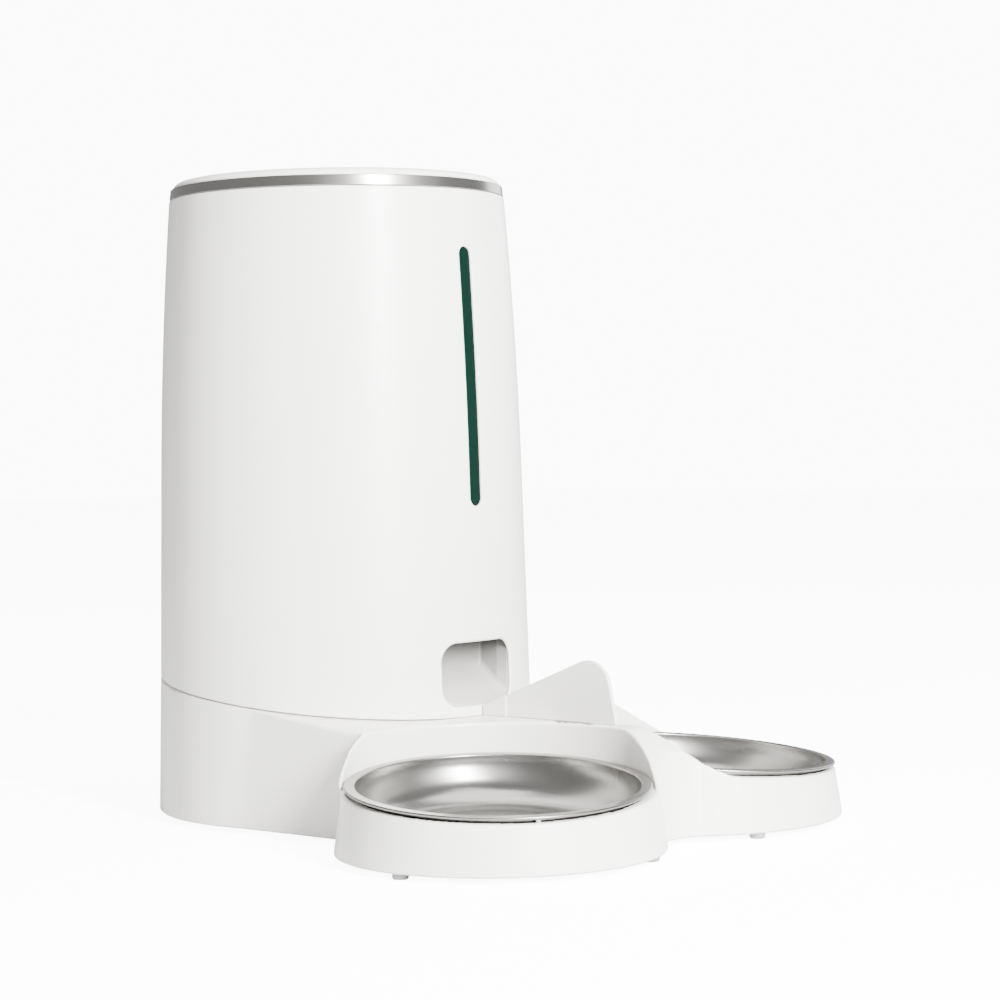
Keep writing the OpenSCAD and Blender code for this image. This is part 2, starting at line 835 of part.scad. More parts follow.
module gear_screws() {
    color(steel) at_tower() for (p = gear_posts) translate([p[0], p[1], plate_z]) {
        translate([0, 0, -eps]) cylinder(r = 1.15, h = 10);
        translate([0, 0, -1.6]) cylinder(r = 2.8, h = 1.6);
    }
}

module motor() {
    color("#a9adb0") at_tower() translate([0, motor_y, 0]) {
        difference() {
            translate([0, 0, plate_z - 40]) cylinder(r = motor_r, h = 40);
            translate([0, 0, plate_z - 6]) cylinder(r = 2, h = 8);
            for (x = [-8.5, 8.5]) translate([x, 0, plate_z - 6]) cylinder(r = 1.2, h = 8);
        }
        translate([0, 0, plate_z - 43]) cylinder(r = 5, h = 3 + eps);
    }
}

module motor_screws() {
    color(steel) at_tower() for (x = [-8.5, 8.5]) translate([x, motor_y, plate_z]) {
        translate([0, 0, -5]) cylinder(r = 1.15, h = 7.4 + eps);
        translate([0, 0, 2.4]) cylinder(r = 2.2, h = 1.2);
    }
}

module motor_leads() {
    color("#a63a32") at_tower() for (x = [-8, 8]) translate([x, motor_y - 2, 51.6])
        cylinder(r = 0.9, h = plate_z - 40 - 51.6);
}

module chute_side(points) {
    rotate([90, 0, -90]) translate([0, 0, -chute_w / 2]) linear_extrude(height = chute_w) polygon(points);
}

module chute() {
    back = chute_back;
    inside = [
        [104, 58.2], [back, 80.4], [back, 97], [42, deck_z + 1], [76, deck_z + 1], [93, 98], [104, 95],
    ];
    color("#eceae5") at_tower() difference() {
        intersection() {
            rotate([90, 0, -90]) translate([0, 0, -chute_w / 2 - 2]) linear_extrude(height = chute_w + 4)
                polygon([
                    [104, 55], [back - 2, 78.6], [back - 2, 96], [38.6, deck_z - 0.1], [79, deck_z - 0.1],
                    [96, 99], [104, 97.6],
                ]);
            tower_band_core();
        }
        chute_side(inside);
        for (x = [-40, 20]) translate([x, -86, 88]) rotate([0, 90, 0]) cylinder(r = 2.6, h = 20);
    }
}

// Solid space inside the tower's wall
module tower_band_core() {
    translate([0, 0, 50]) cylinder(r = tower_r - wall - 3.1, h = 90);
}

module sensor_emitter() {
    color("#2b2d2e") at_tower() sensor_half();
}

module sensor_receiver() {
    color("#2b2d2e") at_tower() mirror([1, 0, 0]) sensor_half();
}

module sensor_half() {
    translate([chute_w / 2 + 2.1, -90, 84]) cube([4.3, 8, 8]);
    translate([chute_w / 2 + 0.6, -86, 88]) rotate([0, 90, 0]) cylinder(r = 2.5, h = 2);
}

// ---------- lid ----------

// Half section of the lid's top: a rounded shoulder round a slightly crowned middle
module lid_outline() {
    steps = 10;
    edge_z = ring_z + ring_h - 0.5;
    flat_r = lid_r - shoulder_w;
    crown = 0.4;
    shoulder = [for (i = [0:steps]) [
        flat_r + shoulder_w * cos(90 * i / steps),
        edge_z + (dome_h + 0.5 - crown) * sin(90 * i / steps)
    ]];
    top = [for (i = [1:steps]) [
        flat_r * (1 - i / steps),
        edge_z + dome_h + 0.5 - crown * pow(1 - i / steps, 2)
    ]];
    polygon(concat([[0, ring_z + 0.4], [lid_r, ring_z + 0.4]], shoulder, top));
}

module lid_cover() {
    color(white) at_tower() {
        rotate_extrude() lid_outline();
        translate([0, 0, hopper_seat + 1]) tube(78.5, 76.3, 8);
        difference() {
            translate([0, 0, ring_z - 3.8]) cylinder(r = 80.6, h = 4.3);
            translate([0, 0, ring_z - 6]) cylinder(r = 76.3, h = 6.4);
        }
    }
}

module lid_ring() {
    color(steel) at_tower() difference() {
        translate([0, 0, ring_z]) cylinder(r1 = ring_r, r2 = ring_r - 0.5, h = ring_h);
        translate([0, 0, ring_z - 1]) cylinder(r = ring_r - 1.6, h = ring_h + 2);
    }
}

module lid_seal() {
    color("#9ca19f") at_tower() translate([0, 0, hopper_seat + 2.6]) rotate_extrude()
        translate([79.6, 0]) polygon([[-1.1, -1], [1.4, -1.4], [1.7, 0], [1.4, 0.8], [-1.1, 0.8]]);
}

module desiccant_holder() {
    color("#e6e6e2") at_tower() translate([0, 0, ring_z + 0.4 - 16]) difference() {
        cylinder(r = 30, h = 16);
        translate([0, 0, -1]) cylinder(r = 28, h = 15.6);
    }
}

module desiccant_pack() {
    color("#b9c9d6") at_tower() translate([0, 0, ring_z - 13.4]) cylinder(r = 26, h = 11);
}

module desiccant_cap() {
    color("#dcdcd8") at_tower() translate([0, 0, ring_z - 18.2]) difference() {
        union() {
            cylinder(r = 30, h = 2.2);
            tube(27.7, 25.8, 4.4);
        }
        for (i = [-4:4]) translate([i * 5 - 1, -18, -1]) cube([2, 36, 5]);
    }
}

// ---------- bowls ----------

module bowl_solid() {
    inner_r = rim_r - rim_w;
    steps = 12;
    turn = [for (i = [0:steps]) 90 * i / steps];
    inside = [for (t = turn) [bowl_foot_r + (inner_r - bowl_foot_r) * sin(t), -bowl_depth * cos(t)]];
    outside = [for (i = [steps:-1:0]) [
        bowl_foot_r + (inner_r - bowl_foot_r + steel_t) * sin(turn[i]),
        -steel_t - bowl_depth * cos(turn[i])
    ]];
    in_bowl() rotate_extrude() polygon(concat(
        [[0, -bowl_depth]], inside,
        [[rim_r - 0.5, 0], [rim_r, -0.5], [rim_r, -1.3], [rim_r - 0.6, -1.3], [rim_r - 0.8, -steel_t]],
        outside, [[0, -bowl_depth - steel_t]]
    ));
}

module left_bowl() {
    color(steel) at_tower() mirror([1, 0, 0]) bowl_solid();
}

module right_bowl() {
    color(steel) at_tower() bowl_solid();
}

base_shell();
bottom_cover();
battery_door();
battery_box();
batteries();
battery_springs();
battery_plates();
main_board();
control_board();
feed_button();
status_light();
power_inlet();
speaker();
rubber_feet();
tray_pads();
tower_shell();
window_lens();
support_deck();
rotor_housing();
portion_rotor();
rotor_wipers();
agitator();
drive_shaft();
deck_bush();
lower_bush();
output_gear();
idler_gear();
idler_pin();
motor_pinion();
gear_plate();
motor();
motor_leads();
chute();
sensor_emitter();
sensor_receiver();
hopper();
hopper_gasket();
portion_shield();
lid_cover();
lid_ring();
lid_seal();
desiccant_holder();
desiccant_pack();
desiccant_cap();
left_bowl();
right_bowl();
splitter();
cover_screws();
tower_screws();
deck_screws();
gear_screws();
motor_screws();
board_screws();
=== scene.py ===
import json
import math
import bmesh
import bpy
import numpy as np
from mathutils import Matrix, Vector


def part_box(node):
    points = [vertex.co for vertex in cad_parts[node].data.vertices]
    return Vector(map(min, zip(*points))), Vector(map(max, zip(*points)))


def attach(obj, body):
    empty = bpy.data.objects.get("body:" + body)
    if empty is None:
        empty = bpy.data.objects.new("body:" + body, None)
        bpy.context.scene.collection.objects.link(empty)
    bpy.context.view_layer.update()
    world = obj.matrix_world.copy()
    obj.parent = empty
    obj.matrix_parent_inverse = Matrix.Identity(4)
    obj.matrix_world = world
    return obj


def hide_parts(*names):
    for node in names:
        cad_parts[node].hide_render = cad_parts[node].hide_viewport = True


# Automatic pet feeder: one tapering food tower, two steel bowls and a food splitter.
# Shapes are worked out in millimetres about the tower's axis and then set back by tower_y.

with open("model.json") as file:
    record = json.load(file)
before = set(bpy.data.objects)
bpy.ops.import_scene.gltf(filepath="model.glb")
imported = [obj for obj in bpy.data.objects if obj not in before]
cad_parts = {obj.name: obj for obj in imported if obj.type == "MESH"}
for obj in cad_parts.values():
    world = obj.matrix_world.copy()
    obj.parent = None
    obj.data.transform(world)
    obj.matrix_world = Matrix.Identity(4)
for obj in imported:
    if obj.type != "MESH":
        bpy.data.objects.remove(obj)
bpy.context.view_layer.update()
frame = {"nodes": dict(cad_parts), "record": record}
MM = 0.001


def local_box(node):
    """A node's lowest and highest corner in millimetres, about the tower's axis."""
    low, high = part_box(node)
    back = np.array([0, tower_y, 0])
    return np.array(low) / MM - back, np.array(high) / MM - back


# ---------- driving values, from the frame where it has them ----------

ring_low, ring_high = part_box("lid_ring")
tower_y = (ring_low.y + ring_high.y) / 2 / MM
ring_r = (ring_high.x - ring_low.x) / 2 / MM
ring_z = ring_low.z / MM
ring_h = (ring_high.z - ring_low.z) / MM
tower_top = local_box("tower_shell")[1][2]
lid_top = local_box("lid_cover")[1][2]
base_z = local_box("base_shell")[0][2]

# tower: radius at the level top, straight taper, and the extra curve above a height
plateau_z = 57
tower_r = 100.6
tower_taper = 0.0215
tower_curve = 0.00019
curve_from = 185
wall = 2.6

# sloping parting line between tower and base
seam_z = 67.5
seam_slope = 0.115
seam_gap = 0.7
lip_r = 95.2
lip_t = 2

# window slit and its lens
slit_w = 8.8
slit_low = 165.7
slit_high = 301
lens_sink = 0.9
lens_flange = 2.4

# food outlet
outlet_w = 52.5
outlet_low = 62.6
outlet_high = 95.2
outlet_corner = 10
outlet_edge = 1.8

# base: foot round the tower, side walls, and the hill that falls round the bowls
base_r = 102.2
foot_inset = 0.9
foot_height = 90
side_x = 101.4
side_draft = math.radians(3.2)
side_toe = math.radians(2.4)
block_front = 150
hill_y = 105
hill_top_r = 90
hill_foot_r = 146
hill_drop = 27
floor_t = 2.4
floor_front = 98.5
hollow_front = 112
seam_front = 116

# bowls: place, rim, steel and lean
bowl_x = 77.2
bowl_y = 178
rim_z = 36
rim_r = 74
rim_w = 5.2
bowl_depth = 24
bowl_foot_r = 46
steel_t = 0.8
lean = math.radians(4.6)
lean_dir = math.radians(38.4)

# trays under the bowls, and the collar behind each
tray_x = 74
tray_y = 176.2
tray_r = 80.4
tray_top_r = 76.3
tray_slope = (tray_r - tray_top_r) / 28
edge_drop = 3
front_fillet_r = 25
fillet_y = tray_y + math.sqrt((tray_r + front_fillet_r) ** 2 - tray_x**2) - 0.4
well_r = rim_r + 1.1
ledge_r = rim_r - 3.6
ledge_drop = edge_drop + 0.2
collar_t = 2
collar_start = 6
collar_flare = 0.3
collar_most = 6
collar_fade = 20

# food splitter, its slot and its hidden tab
splitter_t = 2.4
splitter_y = 189.8
splitter_peak = 182
splitter_h = 36.6
splitter_nose = 14
root_t = 3.6
tab_t = 1.4
slot_y = 140
slot_w = 1.5
slot_length = 20.1
slot_depth = 8.3

# chute behind the outlet, with unit directions (forward, up) for its slopes
chute_back = 77
chute_bend = 80.4
chute_half = 24
chute_flare = 2.6
chute_wall = 1.8
chute_floor_dir = (0.635, 0.772)
chute_back_dir = (0.651, 0.759)
chute_back_z = 97
chute_roof = (93, 98)
chute_roof_dirs = ((0.863, 0.506), (0.263, 0.965))
deck_z = 126

# food hopper and its seat in the tower
hopper_r = 83.6
hopper_seat = 324
hopper_foot = 163
hopper_bend = 250
hopper_t = 2
hopper_neck_r = 58
hopper_flange_r = 77.6
hopper_rim_r = 87.5
hopper_ledge_r = 88.2

# lid: shoulder, crown, and the plug and seal under it
shoulder_w = 6
lid_crown = 0.4
plug_r = 80.6
seal_r = 78.5
seal_in_r = 76.3

# holes in the back of the base: (x, radius)
rear_z = 34
rear_holes = ((-24, 6.2), (0, 6.0), (24, 2.6))

# stage: brightness of the surround, the white backdrop and the floor that the camera sees
surround_strength = 0.5
backdrop_strength = 14
floor_glow = 10
floor_half = 6.0


# ---------- fields: negative inside, in millimetres ----------

def round_max(a, b, r):
    """Intersection whose outside edge is rounded to radius r."""
    u = np.maximum(a + r, 0)
    v = np.maximum(b + r, 0)
    return np.minimum(np.maximum(a, b), -r) + np.sqrt(u * u + v * v)


def round_min(a, b, r):
    """Union whose inside corner is filled to radius r."""
    return -round_max(-a, -b, r)


def tower_rad(z):
    """Radius of the tower's skin at a height."""
    return tower_r - tower_taper * (z - plateau_z) - tower_curve * np.maximum(0, z - curve_from) ** 2


def seam_field(y, z, raised=0):
    """Signed distance above the sloping parting plane."""
    return (z - seam_z - raised - seam_slope * y) / math.hypot(1, seam_slope)


def stadium(x, z, grow=0):
    """The window slit's outline, seen from the front."""
    middle = np.clip(z, slit_low + slit_w / 2, slit_high - slit_w / 2)
    return np.hypot(x, z - middle) - slit_w / 2 - grow


def outlet(x, z):
    """The food outlet's outline, seen from the front."""
    half_h = (outlet_high - outlet_low) / 2
    dx = np.abs(x) - outlet_w / 2 + outlet_corner
    dz = np.abs(z - outlet_low - half_h) - half_h + outlet_corner
    beyond = np.hypot(np.maximum(dx, 0), np.maximum(dz, 0))
    return beyond + np.minimum(np.maximum(dx, dz), 0) - outlet_corner


def front_only(d, y):
    """Keeps an opening at the front: behind the axis it counts as far away."""
    return np.where(y < 0, d, 50.0)


def tower_field(p):
    x, y, z = p[..., 0], p[..., 1], p[..., 2]
    r = np.hypot(x, y)
    skin = r - tower_rad(z)
    f = np.maximum(skin, -skin - wall)
    f = round_max(f, -seam_field(y, z, seam_gap), 0.5)
    f = round_max(f, z - tower_top, 0.6)
    f = round_max(f, -front_only(stadium(x, z), y), 0.7)
    return round_max(f, -front_only(outlet(x, z), y), outlet_edge)


def lens_field(p):
    x, y, z = p[..., 0], p[..., 1], p[..., 2]
    skin = np.hypot(x, y) - tower_rad(z)
    face = np.maximum(skin + lens_sink, -skin - wall - 0.2)
    face = round_max(face, stadium(x, z, -0.12), 0.35)
    flange = np.maximum(skin + wall + 0.15, -skin - wall - 1.3)
    flange = np.maximum(flange, stadium(x, z, lens_flange))
    return np.minimum(face, flange)


def hill(r):
    """Height and slope of the level top that falls in an S curve round the bowls."""
    span = hill_foot_r - hill_top_r
    u = np.clip((r - hill_top_r) / span, 0, 1)
    return plateau_z - hill_drop * (3 * u * u - 2 * u**3), hill_drop * 6 * u * (1 - u) / span


def bowl_frame():
    """Rows are the right-hand bowl's own axes, about the tower's axis."""
    axis = Vector((math.cos(lean_dir), math.sin(lean_dir), 0))
    return np.array(Matrix.Rotation(lean, 3, axis)).T


def in_bowl(x, y, z):
    """Distance from the bowl's axis and height above its rim, for the nearer bowl."""
    rows = bowl_frame()
    dx, dy, dz = np.abs(x) - bowl_x, y + bowl_y, z - rim_z
    u, v, w = (row[0] * dx + row[1] * dy + row[2] * dz for row in rows)
    return np.hypot(u, v), w


def base_walls(x, y, z):
    """Outline of the base seen from above: side walls, trays and the fillet between them."""
    n = (math.cos(side_draft) * math.cos(side_toe), -math.cos(side_draft) * math.sin(side_toe))
    side = n[0] * (x - side_x) + n[1] * y + math.sin(side_draft) * (z - base_z)
    block = np.maximum(np.maximum(side, y), -block_front - y)
    tray = np.hypot(x - tray_x, y + tray_y) - tray_r + tray_slope * (z - base_z)
    to_fillet = math.hypot(tray_x, fillet_y - tray_y)
    line = ((fillet_y - tray_y) * (x - tray_x) + tray_x * -(y + tray_y)) / to_fillet
    hollow = front_fillet_r + tray_slope * (z - base_z) - np.hypot(x, y + fillet_y)
    filler = np.maximum(line, hollow)
    filler = np.maximum(filler, y + tray_y)
    return block, np.minimum(tray, filler)


def base_shape(x, y, z):
    """The base's outside, with no underside. All tops are joined before the walls cut them."""
    from_tower = np.hypot(x, y)
    foot_taper = (base_r - tower_r + foot_inset) / foot_height
    foot = from_tower - base_r + foot_taper * (z - base_z)
    radial, w = in_bowl(x, y, z)
    block, tray = base_walls(np.abs(x), y, z)
    from_hill = np.hypot(x, y + hill_y)
    # the collar stands out of the tray as it rises, and fades away towards the hill's foot
    stand = np.clip((w + edge_drop + collar_start) * collar_flare, 0, collar_most)
    stand = stand * np.clip((hill_foot_r - from_hill) / collar_fade, 0, 1)
    collar = np.maximum(np.maximum(radial - well_r - collar_t, tray - stand), -block_front - y)
    walls = round_min(round_min(block, np.minimum(tray, collar), 3), foot, 1)
    seam = seam_field(y, z)
    height, slope = hill(from_hill)
    hump = np.maximum((z - height) / np.sqrt(1 + slope**2), from_hill - hill_foot_r)
    # the high top stops a little past the side walls, so that it doesn't lift the collar
    beside = np.minimum(block, foot) - np.interp(y, [-104, -92], [0.3, 4])
    seam_top = np.maximum(np.maximum(seam, -seam_front - y), beside)
    level = np.minimum(hump, seam_top)
    level = round_max(level, well_r - radial, 1.5)
    top = round_min(level, w + ledge_drop, 0.6)
    # the top's edge is crisp beside the tower, soft over the hill and firmer round the trays
    softness = np.interp(-y, [40, 80, 110, 140], [0.6, 2.0, 2.0, 1.1])
    # room for the tower above the parting line
    recess = np.maximum(from_tower - tower_r - 0.4, -seam)
    return np.maximum(round_max(walls, top, softness), -recess)


def base_field(p):
    """The base as a shell: its outside, less the wells, the hollow, the slot and the rear holes."""
    x, y, z = p[..., 0], p[..., 1], p[..., 2]
    shape = base_shape(x, y, z)
    radial, w = in_bowl(x, y, z)
    f = round_max(shape, base_z - z, 1.0)
    pit = np.maximum(radial - ledge_r, base_z + floor_t - z)
    f = round_max(f, -pit, 0.7)
    hollow = shape + wall
    round_seat = np.maximum(radial - well_r - wall, -ledge_drop - wall - w)
    hollow = np.maximum(hollow, -np.minimum(round_seat, radial - ledge_r - wall))
    hollow = np.maximum(hollow, -np.maximum(z - base_z - floor_t, y + floor_front))
    hollow = np.maximum(hollow, -hollow_front - y)
    f = np.maximum(f, -hollow)
    slot = np.maximum(np.abs(x) - slot_w / 2, np.abs(y + slot_y) - slot_length / 2)
    f = np.maximum(f, -np.maximum(slot, plateau_z - slot_depth - z))
    for hole_x, hole_r in rear_holes:
        hole = np.maximum(np.hypot(x - hole_x, z - rear_z) - hole_r, 60 - y)
        f = round_max(f, -hole, 0.5)
    return f


# ---------- meshing ----------

def spaced(stops):
    """Grid values from (start, step) pairs; the last pair's start is the end."""
    values = []
    for (start, step), (end, _) in zip(stops, stops[1:]):
        count = max(1, round((end - start) / step))
        values += [start + (end - start) * i / count for i in range(count)]
    return np.array(values + [stops[-1][0]])


def surface_net(us, vs, ws, place, field, wrap=False):
    """Points and quads round the place where field changes sign on a curved grid."""
    points = place(*np.meshgrid(us, vs, ws, indexing="ij"))
    value = field(points)
    inside = value < 0
    nu, nv, nw = value.shape
    cu = nu if wrap else nu - 1
    after = np.roll(inside, -1, 0)[:cu]
    count = np.zeros((cu, nv - 1, nw - 1), np.uint8)
    for side in (inside[:cu], after):
        for j in (0, 1):
            for k in (0, 1):
                count += side[:, j : nv - 1 + j, k : nw - 1 + k]
    cells = np.argwhere((count > 0) & (count < 8))
    number = np.full(count.shape, -1, np.int64)
    number[tuple(cells.T)] = np.arange(len(cells))
    corners = [(i, j, k) for i in (0, 1) for j in (0, 1) for k in (0, 1)]
    at = [((cells[:, 0] + i) % nu, cells[:, 1] + j, cells[:, 2] + k) for i, j, k in corners]
    total = np.zeros((len(cells), 3))
    crossings = np.zeros(len(cells))
    for a in range(8):
        for b in range(a + 1, 8):
            if sum(abs(m - n) for m, n in zip(corners[a], corners[b])) != 1:
                continue
            fa, fb = value[at[a]], value[at[b]]
            crossed = (fa < 0) != (fb < 0)
            t = np.where(crossed, fa / np.where(crossed, fa - fb, 1), 0)[:, None]
            found = points[at[a]] * (1 - t) + points[at[b]] * t
            total += found * crossed[:, None]
            crossings += crossed
    quads = []
    back = np.roll(number, 1, 0) if wrap else number
    here = slice(0, cu) if wrap else slice(1, cu)
    before = slice(0, cu) if wrap else slice(0, cu - 1)
    # edges along u
    a, b = inside[:cu, 1:-1, 1:-1], after[:, 1:-1, 1:-1]
    ring = (number[:, :-1, :-1], number[:, 1:, :-1], number[:, 1:, 1:], number[:, :-1, 1:])
    quads.append(_quads(a, b, ring))
    # edges along v
    a, b = inside[here, :-1, 1:-1], inside[here, 1:, 1:-1]
    ring = (back[before, :, :-1], back[before, :, 1:], number[here, :, 1:], number[here, :, :-1])
    quads.append(_quads(a, b, ring))
    # edges along w
    a, b = inside[here, 1:-1, :-1], inside[here, 1:-1, 1:]
    ring = (back[before, :-1, :], number[here, :-1, :], number[here, 1:, :], back[before, 1:, :])
    quads.append(_quads(a, b, ring))
    return total / crossings[:, None], np.concatenate(quads)


def _quads(a, b, ring):
    """Quads for the grid edges that leave the solid (a inside) or enter it (b inside)."""
    leaves, enters = a & ~b, b & ~a
    out = np.stack([r[leaves] for r in ring], 1)
    into = np.stack([r[enters] for r in ring[::-1]], 1)
    return np.concatenate([out, into])


def slope_of(field, p, step=0.02):
    """The field's gradient at each point, from steps to both sides."""
    g = np.empty_like(p)
    for i in range(3):
        d = np.zeros(3)
        d[i] = step
        g[:, i] = (field(p + d) - field(p - d)) / (2 * step)
    return g


def settle(points, quads, field, rounds=4):
    """Evens out the points and puts them exactly on the surface; returns normals too."""
    edges = np.concatenate([quads[:, [i, (i + 1) % 4]] for i in range(4)])
    edges = np.unique(np.sort(edges, 1), axis=0)
    ends = np.concatenate([edges[:, 0], edges[:, 1]])
    starts = np.concatenate([edges[:, 1], edges[:, 0]])
    degree = np.bincount(ends, minlength=len(points))[:, None]
    for _ in range(rounds):
        sums = [np.bincount(ends, points[starts, i], len(points)) for i in range(3)]
        points = points * 0.5 + np.stack(sums, 1) / degree * 0.5
        for _ in range(2):
            g = slope_of(field, points)
            off = field(points)
            step = off[:, None] * g / np.maximum((g * g).sum(1), 0.25)[:, None]
            moved = points - np.clip(step, -0.8, 0.8)
            nearer = np.abs(field(moved)) < np.abs(off)
            points = np.where(nearer[:, None], moved, points)
    g = slope_of(field, points)
    return points, g / np.maximum(np.linalg.norm(g, axis=1), 1e-9)[:, None]


def link(name, mesh, matrix=None):
    """Puts a mesh into the scene as an object."""
    obj = bpy.data.objects.new(name, mesh)
    bpy.context.scene.collection.objects.link(obj)
    if matrix is not None:
        obj.matrix_world = matrix
    return obj


def straight(x, y, z):
    """Grid place: plain coordinates."""
    return np.stack([x, y, z], -1)


def on_tower(a, z, w):
    """Grid place: angle from the front, height, depth from the skin."""
    r = tower_rad(z) + w
    return np.stack([r * np.sin(a), -r * np.cos(a), z], -1)


def netted(name, us, vs, ws, place, field, wrap=False):
    """A smooth piece made from a field, with the field's own normals."""
    points, quads = surface_net(us, vs, ws, place, field, wrap)
    points, normals = settle(points, quads, field)
    world = (points + [0, tower_y, 0]) * MM
    mesh = bpy.data.meshes.new(name)
    mesh.from_pydata(world.tolist(), [], quads.tolist())
    mesh.shade_smooth()
    mesh.normals_split_custom_set_from_vertices(normals.tolist())
    return link(name, mesh)


def rounded(points, steps=5):
    """Outline with arcs at its corners; a point is (r, z) or (r, z, corner radius)."""
    out = []
    count = len(points)
    for i, point in enumerate(points):
        here = Vector(point[:2])
        radius = point[2] if len(point) > 2 else 0
        if not radius:
            out.append(here)
            continue
        before = Vector(points[i - 1][:2]) - here
        after = Vector(points[(i + 1) % count][:2]) - here
        half = before.angle(after) / 2
        reach = min(radius / math.tan(half), before.length * 0.49, after.length * 0.49)
        radius = reach * math.tan(half)
        centre = here + (before.normalized() + after.normalized()).normalized() * radius / math.sin(half)
        start = here + before.normalized() * reach - centre
        end = here + after.normalized() * reach - centre
        turn = start.angle_signed(end)
        for s in range(steps + 1):
            out.append(centre + Matrix.Rotation(-turn * s / steps, 2) @ start)
    return out


def lathe(name, outline, segments=160, matrix=None, shift=None):
    """A turned piece about its own Z axis. shift(x, y) raises each point, for a sloping edge."""
    bm = bmesh.new()
    rings = []
    for i in range(segments):
        a = 2 * math.pi * i / segments
        ring = []
        for r, z in outline:
            x, y = r * math.cos(a), r * math.sin(a)
            lift = shift(x, y) if shift else 0
            ring.append(bm.verts.new((x * MM, y * MM, (z + lift) * MM)))
        rings.append(ring)
    count = len(outline)
    for i in range(segments):
        here, after = rings[i], rings[(i + 1) % segments]
        for j in range(count):
            k = (j + 1) % count
            if outline[j][0] < 1e-6 and outline[k][0] < 1e-6:
                continue
            bm.faces.new((here[j], after[j], after[k], here[k]))
    bmesh.ops.remove_doubles(bm, verts=bm.verts, dist=1e-7)
    bmesh.ops.dissolve_degenerate(bm, edges=bm.edges, dist=1e-7)
    bmesh.ops.recalc_face_normals(bm, faces=bm.faces)
    mesh = bpy.data.meshes.new(name)
    bm.to_mesh(mesh)
    bm.free()
    mesh.shade_smooth()
    obj = link(name, mesh, matrix or Matrix.Translation((0, tower_y * MM, 0)))
    weigh(obj)
    return obj


def weigh(obj):
    """Shades large faces flat and lets small ones take the bend."""
    weighted = obj.modifiers.new("even_normals", "WEIGHTED_NORMAL")
    weighted.weight = 80
    weighted.keep_sharp = True


def extruded(name, outline, half, place, bevel):
    """A flat outline, thickened by half to each side and softened along its edges."""
    bm = bmesh.new()
    sides = [[bm.verts.new([c * MM for c in place(a, b, s * half)]) for a, b in outline] for s in (-1, 1)]
    bm.faces.new(sides[0])
    bm.faces.new(sides[1][::-1])
    for i in range(len(outline)):
        k = (i + 1) % len(outline)
        bm.faces.new((sides[0][i], sides[1][i], sides[1][k], sides[0][k]))
    bmesh.ops.recalc_face_normals(bm, faces=bm.faces)
    mesh = bpy.data.meshes.new(name)
    bm.to_mesh(mesh)
    bm.free()
    mesh.shade_smooth()
    obj = link(name, mesh)
    soften(obj, bevel)
    return obj


def soften(obj, width, segments=4, angle=50):
    """Rounds every edge sharper than angle, by width in millimetres."""
    bevel = obj.modifiers.new("soft_edges", "BEVEL")
    bevel.width = width * MM
    bevel.segments = segments
    bevel.limit_method = "ANGLE"
    bevel.angle_limit = math.radians(angle)
    bevel.harden_normals = False
    weigh(obj)


# ---------- materials ----------

class Shader:
    """A Principled material with short helpers for the nodes that feed it."""

    def __init__(self, name):
        self.material = bpy.data.materials.new(name)
        self.material.use_nodes = True
        self.tree = self.material.node_tree
        self.main = self.tree.nodes["Principled BSDF"]
        self.where = self.node("ShaderNodeTexCoord").outputs["Object"]

    def node(self, kind, **inputs):
        made = self.tree.nodes.new(kind)
        for key, value in inputs.items():
            self.feed(made, key.replace("_", " "), value)
        return made

    def feed(self, node, socket, value):
        if isinstance(value, bpy.types.NodeSocket):
            self.tree.links.new(value, node.inputs[socket])
        else:
            node.inputs[socket].default_value = value

    def set(self, socket, value):
        self.feed(self.main, socket, value)

    def noise(self, scale, detail=3.0, stretch=None, vector=None):
        vector = vector or self.where
        if stretch:
            vector = self.node("ShaderNodeMapping", Vector=vector, Scale=stretch).outputs[0]
        made = self.node("ShaderNodeTexNoise", Vector=vector, Scale=scale, Detail=detail)
        return made.outputs[0]

    def spread(self, value, low, high, start=0.3, end=0.7):
        made = self.node("ShaderNodeMapRange", Value=value)
        made.inputs["From Min"].default_value = start
        made.inputs["From Max"].default_value = end
        made.inputs["To Min"].default_value = low
        made.inputs["To Max"].default_value = high
        return made.outputs[0]

    def tint(self, value, dark, light):
        made = self.node("ShaderNodeMix")
        made.data_type = "RGBA"
        self.feed(made, 0, value)
        made.inputs[6].default_value = (*dark, 1)
        made.inputs[7].default_value = (*light, 1)
        return made.outputs[2]

    def bump(self, height, strength, distance):
        made = self.node("ShaderNodeBump", Height=height, Strength=strength, Distance=distance)
        self.set("Normal", made.outputs[0])


def plastic(name, colour, rough=0.38, grain=0.06, coat=0.0):
    """Moulded plastic: a faint cloud in colour, uneven gloss and a fine spark-eroded grain."""
    s = Shader(name)
    cloud = s.noise(22, 4)
    dark = [c * 0.972 for c in colour]
    s.set("Base Color", s.tint(s.spread(cloud, 0, 1), dark, colour))
    s.set("Roughness", s.spread(s.noise(140, 3), rough - 0.05, rough + 0.05))
    s.bump(s.noise(2600, 2), grain, 0.00012)
    s.set("IOR", 1.47)
    s.set("Coat Weight", coat)
    s.set("Coat Roughness", 0.25)
    return s.material


def painted_shade_plastic(name, low_colour, high_colour, low, high, rough):
    """Moulded plastic with painted shade: its colour changes with height, between two heights in metres."""
    s = Shader(name)
    split = s.node("ShaderNodeSeparateXYZ", Vector=s.where)
    up = s.spread(split.outputs[2], 0, 1, low, high)
    s.set("Base Color", s.tint(up, low_colour, high_colour))
    s.set("Roughness", s.spread(s.noise(140, 3), rough - 0.05, rough + 0.05))
    s.bump(s.noise(2600, 2), 0.06, 0.00012)
    s.set("IOR", 1.47)
    return s.material


